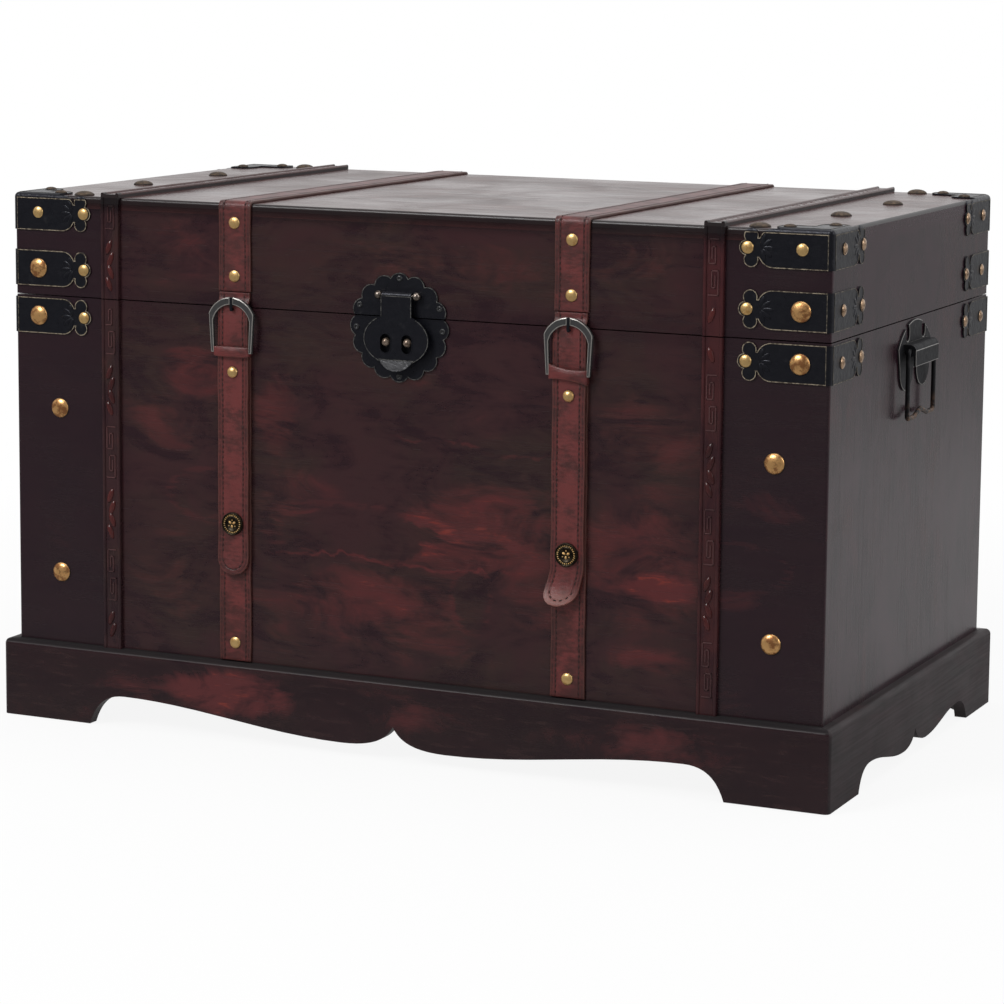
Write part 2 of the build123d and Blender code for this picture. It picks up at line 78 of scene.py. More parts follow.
class Finish:
    def __init__(self, owner):  # owner is the world, or the name of a new material
        self.owner = bpy.data.materials.new(owner) if isinstance(owner, str) else owner
        self.owner.use_nodes = True
        self.tree = self.owner.node_tree
        self.tree.nodes.clear()

    def node(self, kind, settings=None, inputs=None, out=0):
        made = self.tree.nodes.new(kind)
        for key, value in (settings or {}).items():
            setattr(made, key, value)
        for key, value in (inputs or {}).items():
            if isinstance(value, Wire):
                self.tree.links.new(value.socket, made.inputs[key])
            elif made.inputs[key].type == "RGBA":
                made.inputs[key].default_value = (*value, 1)
            else:
                made.inputs[key].default_value = value
        return Wire(self, made.outputs[out]) if made.outputs else None

    def place(self, kind="Object"):
        return self.node("ShaderNodeTexCoord", out=kind)

    def rays(self, *kinds):  # whether a ray is of each of these kinds
        path = self.node("ShaderNodeLightPath").socket.node
        return [Wire(self, path.outputs[f"Is {kind} Ray"]) for kind in kinds]

    def stretched(self, where, scale):
        return self.node("ShaderNodeMapping", {}, {"Vector": where, "Scale": scale})

    def split(self, where):
        parted = self.node("ShaderNodeSeparateXYZ", {}, {0: where}).socket.node
        return [Wire(self, output) for output in parted.outputs]

    def grain(self, where, scale, detail=3.0, rough=0.5, distortion=0.0):
        return self.node("ShaderNodeTexNoise", {}, {"Vector": where, "Scale": scale, "Detail": detail,
                                                    "Roughness": rough, "Distortion": distortion})

    def blend(self, factor, low, high):
        return self.node("ShaderNodeMix", {"data_type": "RGBA"}, {0: factor, 6: low, 7: high}, out=2)

    def bump(self, height, strength, depth):
        return self.node("ShaderNodeBump", {}, {"Height": height, "Strength": strength, "Distance": depth})

    def surface(self, **sockets):
        named = {key.replace("_", " "): value for key, value in sockets.items()}
        return self.output(self.node("ShaderNodeBsdfPrincipled", {}, named))

    def output(self, shader, kind="ShaderNodeOutputMaterial"):
        self.node(kind, {}, {"Surface": shader})
        return self.owner


# Wood: dark stain wiped back in horizontal strokes, under clear lacquer

stain = {
    "dark": (0.0185, 0.0062, 0.0096),
    "beyond": (0.0165, 0.0078, 0.0116),
    "brown": (0.0350, 0.0130, 0.0150),
    "olive": (0.0300, 0.0150, 0.0135),
    "wiped": (0.0850, 0.0175, 0.0185),
    "bare": (0.2100, 0.0300, 0.0190),
    "black": (0.0035, 0.0022, 0.0032),
    "low": (0.0125, 0.0042, 0.0062),
    "scuffed": (0.0600, 0.0280, 0.0260),
    "inside": (0.0300, 0.0120, 0.0090),
    "roughness": (0.16, 0.34),
}
stains = {  # where a part's stain differs; fret is the carving painted lighter as its highlight, and leaf the carved leaves painted redder, partly their own tone and partly painted highlight
    # side and foot are darker copies of the stain, painted shade on the ends of the chest and plinth; top is a
    # lighter, redder copy, painted light on the lid's top and its battens
    "side": {"dark": (0.012, 0.0030, 0.0072), "brown": (0.025, 0.0074, 0.0138),
             "olive": (0.020, 0.0070, 0.0108)},
    "foot": {"dark": (0.008, 0.0028, 0.0042), "brown": (0.018, 0.0060, 0.0088),
             "olive": (0.014, 0.0060, 0.0076), "roughness": (0.50, 0.75)},
    "top": {"dark": (0.038, 0.0110, 0.0120), "brown": (0.065, 0.0200, 0.0200),
            "olive": (0.056, 0.0220, 0.0200), "wiped": (0.120, 0.0300, 0.0280), "roughness": (0.14, 0.42)},
    "red": {"dark": (0.026, 0.0070, 0.0100), "brown": (0.052, 0.0125, 0.0140),
            "olive": (0.040, 0.0120, 0.0120)},
    "fret": {"dark": (0.040, 0.016, 0.018), "brown": (0.085, 0.035, 0.036), "olive": (0.060, 0.026, 0.026),
             "wiped": (0.13, 0.040, 0.038), "bare": (0.20, 0.060, 0.045)},
    "leaf": {"dark": (0.026, 0.006, 0.007), "brown": (0.075, 0.014, 0.013), "olive": (0.045, 0.009, 0.009),
             "wiped": (0.150, 0.034, 0.025), "bare": (0.22, 0.075, 0.045)},
}
wipes = [  # red zones of the front: centre x and z, half length and half height in mm, strength
    (60, 166, 66, 42, 0.85), (90, 165, 26, 50, 0.6), (-25, 112, 95, 26, 0.75), (-30, 82, 100, 20, 0.5),
    (-98, 245, 22, 34, 0.8), (-80, 182, 40, 22, 0.6), (62, 262, 55, 28, 0.45), (184, 250, 60, 26, 0.6),
    (186, 160, 50, 50, 0.8), (200, 143, 34, 13, 1.3), (194, 92, 36, 10, 0.7), (110, 120, 30, 26, 0.6),
    (-171, 360, 32, 30, 0.7), (-168, 270, 28, 22, 0.9), (-189, 228, 40, 30, 0.5), (-185, 120, 45, 34, 0.35),
    (43, 358, 60, 18, 0.45), (-16, 352, 50, 20, 0.35), (168, 368, 48, 16, 0.5), (284, 206, 26, 12, 0.75),
    (258, 140, 20, 10, 0.7), (-136, 36, 60, 18, 1.25), (-205, 31, 40, 16, 0.7), (-20, 36, 80, 14, 0.5),
    (205, 34, 76, 16, 0.72), (268, 70, 26, 16, 0.5),
]
shadows = [  # patches where the stain was left, with a red rim: centre x and z, half length and height in mm
    (-32, 163, 68, 19), (57, 121, 14, 22), (-160, 180, 26, 18), (262, 162, 30, 15),
]
scores = [  # thin red lines: from x, to x, height in mm, strength
    (-112, 93, 142.5, 1.5), (-12, 172, 232, 1.0), (150, 200, 262, 0.9),
]
zones = {  # where a stain or a painted shade fades in or out, in metres from the chest's middle or from the floor
    "beyond": (0.228, 0.250), "overPlinth": (0.050, 0.062),  # the front beyond the battens
    "shadeByBatten": (0.205, 0.230), "split": 0.320, "shadeBySplit": (0.003, 0.014),
    "plinth": (0.050, 0.058), "shadedLedge": (0.0545, 0.0570), "overLedge": (0.0582, 0.0590),
    "ends": (0.3180, 0.3192), "faces": (0.1780, 0.1792), "lidTop": (0.3800, 0.3840),
    "rim": (0.379, 0.391), "rimEnd": (0.3948, 0.3950), "rimEdge": (0.3922, 0.3930), "matt": (0.3895, 0.3905),
    "insideX": (0.3122, 0.3130), "insideY": (0.1722, 0.1730), "insideZ": (0.3858, 0.3864),
}


def oval(x, z, patch):  # 0 in the middle of a patch and 1 on its edge
    px, pz, halfLength, halfHeight = patch[:4]
    dx = (x - px * mm) * (1 / (halfLength * mm))
    dz = (z - pz * mm) * (1 / (halfHeight * mm))
    return dx * dx + dz * dz


def frontWipes(x, z, wiped, clouds, brush, nicks):
    zone = wiped * 0
    for wipe in wipes:
        zone = zone.most((1 - oval(x, z, wipe).steps(0.1, 1.7)) * wipe[4])
    wiped = (wiped + zone * 0.16).steps(0.55, 0.74) * (zone * 0.55 + 0.45)
    for shadow in shadows:
        far = oval(x, z, shadow) + (brush - 0.5) * 2.4
        wiped = wiped * (far.steps(0.75, 1.0) * 0.85 + 0.15)
        wiped = wiped + (1 - abs(far - 1.2).steps(0.05, 0.5)) * nicks.steps(0.46, 0.60) * 0.3
    for low, high, height, strength in scores:
        line = 1 - abs(z - height * mm + (clouds - 0.5) * 0.05).steps(0.0002, 0.0016)
        line = line * x.steps(low * mm, low * mm + 0.02) * (1 - x.steps(high * mm - 0.02, high * mm))
        wiped = wiped + line * brush.steps(0.40, 0.55) * (strength * 0.5)
    return wiped


def stainedWood(name, grainAxis, shade=1.0, tones=None, front=False, wall=None):
    # below the height wall the wood is painted black, as shade, and matt
    finish, tones = Finish(name), {**stain, **(tones or {})}
    place = finish.place()
    x, y, z = finish.split(place)

    def streaks(across, along, *settings):  # noise drawn out along the grain
        scale = [across] * 3
        scale[grainAxis] = along
        return finish.grain(finish.stretched(place, scale), 1.0, *settings)

    clouds = finish.grain(place, 12.0, 5.0, 0.6, 0.5)
    brush = streaks(34, 16, 7.0, 0.66, 0.9)
    hairs = streaks(560, 16, 3.0, 0.6)
    nicks = streaks(240, 40, 4.0, 0.6, 0.6)
    wiped = brush * 0.62 + clouds * 0.38
    wiped = frontWipes(x, z, wiped, clouds, brush, nicks) if front else wiped.steps(0.52, 0.72) * shade
    tone = finish.blend(clouds.steps(0.36, 0.64), tones["brown"], tones["olive"])
    tone = finish.blend((brush * 0.75 + nicks * 0.25).steps(0.36, 0.56), tones["dark"], tone)
    if front:  # a darker tone beyond the battens and on the plinth, and painted shade towards the battens and along the lid's split
        beyond = abs(x).steps(*zones["beyond"]) * z.steps(*zones["overPlinth"])
        shadeBySplit = 1 - abs(z - zones["split"]).steps(*zones["shadeBySplit"])
        # edge is painted shade: darker towards the battens and above and below the split
        edge = (abs(x).steps(*zones["shadeByBatten"]) * 0.5).most(shadeBySplit)
        wiped = wiped * (1 - beyond * 0.4) * (1 - edge * 0.5)
        tone = finish.blend(edge * 0.5, tone, tones["dark"])
        tone = finish.blend(beyond * 0.8, tone, tones["beyond"])
        plinth = 1 - z.steps(*zones["plinth"])
        tone = finish.blend(plinth * 0.7, tone, tones["low"])
        tone = finish.blend(nicks.steps(0.54, 0.70) * plinth * 0.2, tone, tones["scuffed"])
    tone = finish.blend(wiped, tone, tones["wiped"])
    tone = finish.blend(nicks.steps(0.56, 0.70) * wiped.steps(0.55, 1.0) * 0.6, tone, tones["bare"])
    tone = finish.blend(hairs.steps(0.55, 0.80) * 0.35, tone, tones["dark"])

    ends, faces = abs(x).steps(*zones["ends"]), abs(y).steps(*zones["faces"])
    # the lid's ends near the top take the side's darker brown, painted shade
    tone = finish.blend(ends * z.steps(*zones["lidTop"]), tone, stains["side"]["brown"])
    rims = z.steps(*zones["rim"]) * (1 - z.steps(*zones["rimEnd"])) * faces  # black round the top
    rims = rims.most(z.steps(*zones["rimEdge"]) * ends.most(faces))
    matt = z.steps(*zones["matt"]) * rims * 0.7
    if wall:
        matt = matt.most(1 - z.steps(wall - 0.2 * mm, wall))
        rims = rims.most(matt)
    tone = finish.blend(rims * 0.85, tone, tones["black"])
    inside = (1 - abs(x).steps(*zones["insideX"])) * (1 - abs(y).steps(*zones["insideY"]))
    inside = inside * (1 - z.steps(*zones["insideZ"]))
    tone = finish.blend(inside, tone, tones["inside"])
    low, high = tones["roughness"]
    rough = (clouds * 0.5 + hairs * 0.5).steps(0.3, 0.75) * (high - low) + low
    rough = rough.most(inside * 0.6).most(matt * 0.5)
    if front:  # the plinth's top step under the body is dull, and painted nearly black as shade
        shadedLedge = z.steps(*zones["shadedLedge"]) * (1 - z.steps(*zones["overLedge"]))
        tone = finish.blend(shadedLedge * 0.8, tone, tones["black"])
        rough = rough.most(shadedLedge * 0.95)
    normal = finish.bump(hairs * 0.5 + brush * 0.5, 0.10, 0.6 * mm)
    return finish.surface(Base_Color=tone, Roughness=rough, Normal=normal, IOR=1.5)


# Metals: blacked iron with an uneven surface, and brass, copper and steel that have gone dull in places

metal = {"mottle": 260.0, "rub": 90.0, "uneven": 1.2 * mm, "iron": 0.55, "dents": 520.0, "dent": 0.6 * mm}
rust = {"low": 0.250, "high": 0.266, "tone": (0.13, 0.075, 0.048)}  # the grip of a bail is worn brown


def ironFinish(name, base, worn=(0.10, 0.10, 0.10), roughness=0.16, rusty=False):
    finish = Finish(name)
    place = finish.place()
    mottle = finish.grain(place, metal["mottle"], 4.0, 0.6)
    rub = finish.grain(place, metal["rub"], 3.0, 0.55)
    tone = finish.blend(rub.steps(0.62, 0.85) * 0.3, base, worn)
    if rusty:
        grip = 1 - finish.split(place)[2].steps(rust["low"], rust["high"])
        tone = finish.blend(grip * mottle.steps(0.40, 0.58), tone, rust["tone"])
    rough = mottle * 0.35 + roughness
    normal = finish.bump(mottle * 0.45 + rub * 0.55, 0.6, metal["uneven"])
    return finish.surface(Base_Color=tone, Roughness=rough, Metallic=metal["iron"], Normal=normal)


def brassFinish(name, bright, dull, share, roughness, hammer, metallic=1.0, size=330.0):
    finish = Finish(name)
    place = finish.place()
    mottle = finish.grain(place, size, 4.0, 0.65)
    dents = finish.grain(place, metal["dents"], 1.0, 0.4)
    tone = finish.blend(mottle.steps(*share), bright, dull)
    low, high = roughness
    rough = mottle * (high - low) + low
    normal = finish.bump(dents, hammer, metal["dent"])
    return finish.surface(Base_Color=tone, Roughness=rough, Metallic=metallic, Normal=normal)


woods = {
    "frontWood": dict(grainAxis=0, front=True),
    "lengthWood": dict(grainAxis=0, shade=0.6),
    "topWood": dict(grainAxis=0, shade=0.5, tones=stains["top"]),
    "sideWood": dict(grainAxis=2, shade=0.25, tones=stains["side"]),
    "depthWood": dict(grainAxis=1, shade=0.5, tones=stains["foot"]),
    "battenWood": dict(grainAxis=2, shade=0.8),
    "redBatten": dict(grainAxis=2, tones=stains["red"]),
    # the top battens' side walls, below the wall height, are painted black as shade
    "topBatten": dict(grainAxis=1, shade=0.3, tones=stains["top"], wall=0.3972),
    "carvedWood": dict(grainAxis=2, tones=stains["fret"]),
    "carvedLeaf": dict(grainAxis=2, tones=stains["leaf"]),
}
irons = {
    "iron": dict(base=(0.0122, 0.0126, 0.0180)),
    "gunmetal": dict(base=(0.070, 0.069, 0.070), worn=(0.30, 0.29, 0.28)),
    "hingeSteel": dict(base=(0.10, 0.095, 0.09), worn=(0.35, 0.34, 0.32)),
    # the next two are pale copies for the edges of the handles and buckles: partly wear, partly painted
    # highlight
    "wornIron": dict(base=(0.22, 0.21, 0.20), worn=(0.45, 0.43, 0.40)),
    "paleIron": dict(base=(0.32, 0.305, 0.285), worn=(0.75, 0.72, 0.68)),
    "bailIron": dict(base=(0.008, 0.008, 0.010), roughness=0.3, rusty=True),
    "handleIron": dict(base=(0.010, 0.010, 0.013), roughness=0.42),
    "lipSteel": dict(base=(0.060, 0.060, 0.064), worn=(0.24, 0.23, 0.22)),
    "darkSteel": dict(base=(0.05, 0.05, 0.052), worn=(0.25, 0.24, 0.23)),
}
# bright and dull colour, noise where it goes dull, roughness, strength of the dents, metallic, scale
brasses = {
    "rimBrass": ((0.44, 0.37, 0.27), (0.10, 0.08, 0.06), (0.42, 0.62), (0.30, 0.60), 0.1, 0.6),
    # a darker copy of the brass edge: painted shade on the ends and tops, and less gilt by the corners
    "rimDim": ((0.20, 0.17, 0.13), (0.05, 0.045, 0.04), (0.40, 0.58), (0.35, 0.65), 0.1, 0.6),
    "rimSteel": ((0.14, 0.137, 0.13), (0.04, 0.04, 0.04), (0.42, 0.60), (0.30, 0.60), 0.1, 0.6),
    "nailBrass": ((1.0, 0.66, 0.28), (0.80, 0.44, 0.15), (0.50, 0.72), (0.26, 0.46), 0.0, 0.9),
    "nailCopper": ((1.0, 0.57, 0.23), (0.46, 0.20, 0.08), (0.44, 0.60), (0.24, 0.42), 0.02, 0.88, 170.0),
    # the next two are darker copies of the nails' brass, painted shade for nails on the chest's sides and top
    "nailDim": ((0.46, 0.31, 0.20), (0.16, 0.10, 0.06), (0.46, 0.62), (0.14, 0.34), 0.02, 0.8),
    "nailBrown": ((0.085, 0.055, 0.032), (0.040, 0.026, 0.018), (0.42, 0.60), (0.42, 0.70), 0.1, 0.4),
    # painted contact shadow round the foot of each nail head
    "nailRim": ((0.030, 0.016, 0.009), (0.012, 0.008, 0.006), (0.42, 0.60), (0.70, 0.90), 0.0, 0.0),
    "antique": ((0.060, 0.048, 0.032), (0.018, 0.016, 0.014), (0.40, 0.62), (0.30, 0.60), 0.3),
    "paleSteel": ((0.42, 0.36, 0.31), (0.16, 0.12, 0.10), (0.42, 0.64), (0.18, 0.48), 0.2),
    "bronze": ((0.44, 0.34, 0.27), (0.16, 0.11, 0.08), (0.42, 0.62), (0.16, 0.46), 0.1, 0.8),
}
finishes = {
    **{name: stainedWood(name, **settings) for name, settings in woods.items()},
    **{name: ironFinish(name, **settings) for name, settings in irons.items()},
    **{name: brassFinish(name, *settings) for name, settings in brasses.items()},
}
nodeFinishes = {  # the carried parts that no piece of this script replaces
    "frontWood": ["front_panel", "lid_front", "plinth_front"],
    "lengthWood": ["back_panel", "lid_back", "plinth_back", "bottom_board", "plinth_blocks"],
    "topWood": ["lid_panel"],
    "sideWood": ["left_panel", "right_panel", "lid_left", "lid_right"],
    "depthWood": ["plinth_left", "plinth_right"],
    "battenWood": ["body_batten_left", "lid_front_batten_left"],
    "redBatten": ["body_batten_right", "lid_front_batten_right"],
    "topBatten": ["lid_top_batten_left", "lid_top_batten_right"],
    "iron": ["prong_left", "prong_right"],
    "bailIron": ["bail_left", "bail_right"],
    "hingeSteel": ["body_hinge_leaves", "lid_hinge_leaves", "hinge_pins"],
    "nailBrass": ["snap_studs"],
    "paleSteel": ["hasp_pin"],
}
for finishName, names in nodeFinishes.items():
    for name in names:
        for slot in nodes[name].material_slots:
            slot.link = "OBJECT"
            slot.material = finishes[finishName]
print("finishes laid on the carried parts")


def finished(name, bm, materials, body, replaced=(), smooth=True):
    bmesh.ops.recalc_face_normals(bm, faces=bm.faces)
    mesh = bpy.data.meshes.new(name)
    bm.to_mesh(mesh)
    bm.free()
    for material in materials:
        mesh.materials.append(material)
    for face in mesh.polygons:
        face.use_smooth = smooth
    piece = bpy.data.objects.new(name, mesh)
    bpy.context.scene.collection.objects.link(piece)
    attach(piece, body)
    if replaced:
        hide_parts(*replaced)
    return piece


def bead(bm, matrix, size, segments=10, rings=6):  # a ball stretched to a thread, petal or leaf, half sunk
    shape = matrix @ Matrix.Diagonal((*size, 1))
    bmesh.ops.create_uvsphere(bm, u_segments=segments, v_segments=rings, radius=1, matrix=shape)


# Leather: red brown, darker outside its stitching, with pressed grain

leather = {
    "red": (0.128, 0.0245, 0.0235),
    "dark": (0.056, 0.0135, 0.0125),
    "brown": (0.058, 0.0150, 0.0130),
    "edge": (0.070, 0.030, 0.022),
    "groove": (0.014, 0.006, 0.006),
    "pale": (0.280, 0.110, 0.090),
    "line": 4.2 * mm,  # the stitching and a crease, in from the edge
    "crease": 1.7 * mm,
    "pores": 950.0, "blotches": 60.0, "creases": 160.0,
}


def leatherFinish(name, half, stitched=True, tip=None, tipHighlight=0.0, aged=0.0):
    # tip is where the middle of a round end lies along the strip; towards that end the leather is painted
    # paler, a highlight where it curls; aged leather darker
    finish = Finish(name)
    place = finish.place()
    across, along, _ = finish.split(finish.place("UV"))
    pores = finish.node("ShaderNodeTexVoronoi", {"feature": "DISTANCE_TO_EDGE"},
                        {"Vector": place, "Scale": leather["pores"]})
    blotch = finish.grain(place, leather["blotches"], 4.0, 0.6)
    creases = finish.grain(finish.stretched(place, (1, 1, 3.0)), leather["creases"], 3.0, 0.6)
    worn = (blotch * 0.6 + creases * 0.4).steps(0.42 - aged, 0.66 - aged)
    tone = finish.blend(worn, leather["red"], leather["dark"])
    side = abs(across)
    if tip:
        beyond = (along - tip).most(0.0)
        side = (across * across + beyond * beyond).maths("SQRT")
    if stitched:  # browner outside the stitching
        tone = finish.blend(side.steps(half - 5.0 * mm, half - 4.0 * mm) * 0.35, tone, leather["brown"])
    tone = finish.blend(side.steps(half - 0.9 * mm, half - 0.3 * mm) * 0.6, tone, leather["edge"])
    height = pores.steps(0.0, 0.12) * 0.2 + creases * 0.5
    if stitched:  # a pressed line under the stitching
        line = abs(side - (half - leather["line"]))
        height = height - (1 - line.steps(0.3 * mm, 0.9 * mm)) * 1.2
        crease = 1 - abs(side - (half - leather["crease"])).steps(0.1 * mm, 0.8 * mm)
        tone = finish.blend((1 - line.steps(0.1 * mm, 0.9 * mm)) * 0.35, tone, leather["groove"])
        tone = finish.blend(crease * creases.steps(0.35, 0.55) * 0.6, tone, leather["groove"])
    # the end of the strip is painted paler, a highlight on its curl
    if tipHighlight:
        tone = finish.blend(along.steps(tip - 4 * mm, tip + 10 * mm) * tipHighlight, tone, leather["pale"])
    rough = blotch * 0.25 + 0.26
    normal = finish.bump(height, 0.45, 0.5 * mm)
    return finish.surface(Base_Color=tone, Roughness=rough, Normal=normal, IOR=1.48)


# Leather straps: flat strips laid along a route

strap = {
    "under": 26 * mm, "tongue": 25 * mm, "thick": 2 * mm, "rounding": 0.5 * mm, "offset": 132.894 * mm,
    "front": -183 * mm, "tongueFront": -185.9 * mm, "fold": 331 * mm, "foot": 59 * mm,
    "row": 1.6 * mm, "underLength": 259 * mm, "length": 207.2 * mm, "belowFold": 0.3 * mm,
}
tongue = {  # in mm: how it leaves the lid's strap, two rises (place, reach, height, ripple) and the tip
    "leaves": 3.5, "settles": 5.0, "proud": 2.75, "pucker": (10, 6, 0.5, 1.3), "bulge": (24, 9, 0.5, 0.12),
    "tip": 180, "twist": 0.6,
    "curl": {"left": 0.0018, "right": 0.0100},  # how the tip lifts, and gets shorter by it
    "short": {"left": 0.0, "right": 0.003},
    "lean": {"left": 0.0, "right": 0.20},  # how far the tip leans to the left
    # the right tongue's curled tip is painted paler, as a highlight
    "tipHighlight": {"left": 0.0, "right": 0.55},
}
thread = {"step": 3.8 * mm, "size": (0.52 * mm, 1.3 * mm, 0.36 * mm), "hem": 1 * mm,
          "twist": 1500.0, "dark": (0.014, 0.006, 0.006), "pale": (0.034, 0.014, 0.012)}


def strip(name, half, length, lay, material, body, replaced, columns=10, thick=strap["thick"],
          row=strap["row"], roundEnd=False):
    # lay(across, along) gives a point of the outer face; the strip is thickened inwards
    bm = bmesh.new()
    rows = max(2, int(length / row))
    bmesh.ops.create_grid(bm, x_segments=columns, y_segments=rows, size=0.5, calc_uvs=False)
    bm.verts.index_update()
    uv = bm.loops.layers.uv.new("UVMap")
    spots = {}
    for vertex in bm.verts:
        across, along = vertex.co.x * 2 * half, (vertex.co.y + 0.5) * length
        if roundEnd and along > length - half:
            across *= math.sqrt(max(0.0, half**2 - (along - length + half)**2)) / half
        spots[vertex.index] = (across, along)
    for face in bm.faces:
        for loop in face.loops:
            loop[uv].uv = spots[loop.vert.index]
    for vertex in bm.verts:
        vertex.co = lay(*spots[vertex.index])
    bmesh.ops.remove_doubles(bm, verts=bm.verts, dist=0.02 * mm)
    piece = finished(name, bm, [material], body, replaced)
    wall = piece.modifiers.new("thickness", "SOLIDIFY")
    wall.thickness, wall.offset, wall.use_even_offset = thick, -1, True
    soft = piece.modifiers.new("rounding", "BEVEL")
    soft.width, soft.segments = strap["rounding"], 2
    soft.limit_method, soft.angle_limit = "ANGLE", math.radians(50)


def threadSpots(half, start, end, tip=None):
    # where the threads lie on a strip and which way they run: two rows, joined round a round end
    reach, step = half - leather["line"], thread["step"]
    spots = [(side * reach, start + (count + 0.5) * step, 0.0, 1.0)
             for side in (-1, 1) for count in range(int((end - start) / step))]
    if tip:
        count = int(math.pi * reach / step)
        for at in range(count):
            turn = math.pi * (at + 0.5) / count
            dx, dy = math.cos(turn), math.sin(turn)
            spots.append((reach * dx, tip + reach * dy, -dy, dx))
    return spots


def stitches(name, lay, body, spots):
    bm = bmesh.new()
    near = 0.2 * mm
    for across, along, dx, dy in spots:
        here = lay(across, along)
        forward = (lay(across + dx * near, along + dy * near) - here).normalized()
        sideways = (lay(across + dy * near, along - dx * near) - here).normalized()
        outward = sideways.cross(forward).normalized()
        turn = Matrix((sideways, forward, outward)).transposed().to_4x4()
        bead(bm, Matrix.Translation(here) @ turn, thread["size"], 6, 4)
    finished(name, bm, [threadFinish], body)


def threadSurface():
    finish = Finish("thread")
    twist = finish.grain(finish.place(), thread["twist"], 2.0)
    tone = finish.blend(twist, thread["dark"], thread["pale"])
    return finish.surface(Base_Color=tone, Roughness=0.7)


threadFinish = threadSurface()
underLeather = leatherFinish("underLeather", strap["under"] / 2, aged=0.06)
roundTip = strap["length"] - strap["tongue"] / 2
tongueLeather = {
    name: leatherFinish(f"tongueLeather_{name}", strap["tongue"] / 2, tip=roundTip, tipHighlight=tipHighlight)
    for name, tipHighlight in tongue["tipHighlight"].items()
}
lidStrap = {"radius": 4.5 * mm, "front": 183 * mm, "top": 397 * mm, "low": 331.3 * mm, "tail": 42.5 * mm}
lidRise = lidStrap["top"] - lidStrap["radius"] - lidStrap["low"]
lidTurn = lidStrap["radius"] * math.pi / 2
lidRun = 2 * (lidStrap["front"] - lidStrap["radius"])
lidLength = lidRise + lidTurn + lidRun + lidTurn + lidStrap["tail"]


def lidRoute(along):  # up the front of the lid, over it and down its back
    radius, front, top = (lidStrap[key] for key in ("radius", "front", "top"))
    if along < lidRise:
        return -front, lidStrap["low"] + along
    along -= lidRise
    if along < lidTurn:
        turn = along / radius
        return -front + radius * (1 - math.cos(turn)), top - radius + radius * math.sin(turn)
    along -= lidTurn
    if along < lidRun:
        return -front + radius + along, top
    along -= lidRun
    if along < lidTurn:
        turn = along / radius
        return front - radius + radius * math.sin(turn), top - radius + radius * math.cos(turn)
    return front, top - radius - (along - lidTurn)


waves = {"edge": 0.012, "slow": 0.085, "quick": 0.21, "curl": 0.14 * mm, "curls": 0.07, "half": 13 * mm}


def slack(across, along, seed):  # leather's edges are never quite straight or flat
    wave = math.sin(along / mm * waves["slow"] + seed) + 0.7 * math.sin(along / mm * waves["quick"] + 2 * seed)
    curl = 1 + math.sin(along / mm * waves["curls"] + 3 * seed)
    return across * (1 + waves["edge"] * wave), waves["curl"] * curl * (across / waves["half"])**2


def rises(across, below, at, reach, height, ripple):  # the leather rises smoothly about one place, rippled
    return height * math.exp(-((below - at) / reach)**2) * math.cos(across / mm * ripple)


for sideName, side in bothSides.items():
    centre = side * strap["offset"]

    def layUnder(across, along):
        across, lift = slack(across, along, side)
        return Vector((centre + across, strap["front"] - lift, strap["foot"] + along))

    def layLid(across, along):
        across, lift = slack(across, along, side + 2)
        y, z = lidRoute(along)
        return Vector((centre + across, y - lift if y < 0 else y, z))

    def layTongue(across, along):
        # along runs down from the fold, then out from the lid's strap behind the buckle's crown
        across, lift = slack(across, along, side + 4)
        below = along / mm
        down = min(1.0, max(0.0, (below - tongue["leaves"]) / tongue["settles"]))
        root = 1 - down * down * (3 - 2 * down)
        pucker, bulge = (rises(across, below, *tongue[key]) for key in ("pucker", "bulge"))
        y = strap["tongueFront"] + (tongue["proud"] * root - pucker * (1 - root) - bulge) * mm - lift
        past = max(0.0, below - tongue["tip"])
        y -= tongue["curl"][sideName] * past**2 * (1 - tongue["twist"] * across / strap["tongue"]) * mm
        across -= tongue["lean"][sideName] * past * mm
        z = strap["fold"] - strap["belowFold"] - along + tongue["short"][sideName] * past**2 * mm
        return Vector((centre + across, y, z))

    half, length, hem = strap["under"] / 2, strap["underLength"], thread["hem"]
    strip(f"under_leather_{sideName}", half, length, layUnder, underLeather, "chest",
          [f"under_strap_{sideName}"])
    stitches(f"under_stitches_{sideName}", layUnder, "chest", threadSpots(half, 2 * hem, length - 2 * hem))
    strip(f"lid_leather_{sideName}", half, lidLength, layLid, underLeather, "lid", [f"lid_strap_{sideName}"])
    stitches(f"lid_stitches_{sideName}", layLid, "lid", threadSpots(half, hem, lidLength - 2 * hem))
    half, length = strap["tongue"] / 2, strap["length"]
    strip(f"tongue_leather_{sideName}", half, length, layTongue, tongueLeather[sideName], f"strap_{sideName}",
          [f"tongue_{sideName}"], roundEnd=True)
    stitches(f"tongue_stitches_{sideName}", layTongue, f"strap_{sideName}",
             threadSpots(half, hem, length - half, length - half))
print("leather laid")


# Keepers: a leather loop round each tongue and its buckle's bar

keeper = {"height": 8 * mm, "middle": 288 * mm, "half": 14.6 * mm, "front": -188.9 * mm, "back": -183.75 * mm,
          "corner": 1.2 * mm, "thick": 1.1 * mm, "row": 0.8 * mm, "swell": 1.3 * mm, "edge": 4.2 * mm,
          "tilt": {"left": 0.0, "right": -0.11}, "flare": {"left": -0.12, "right": 0.35}}


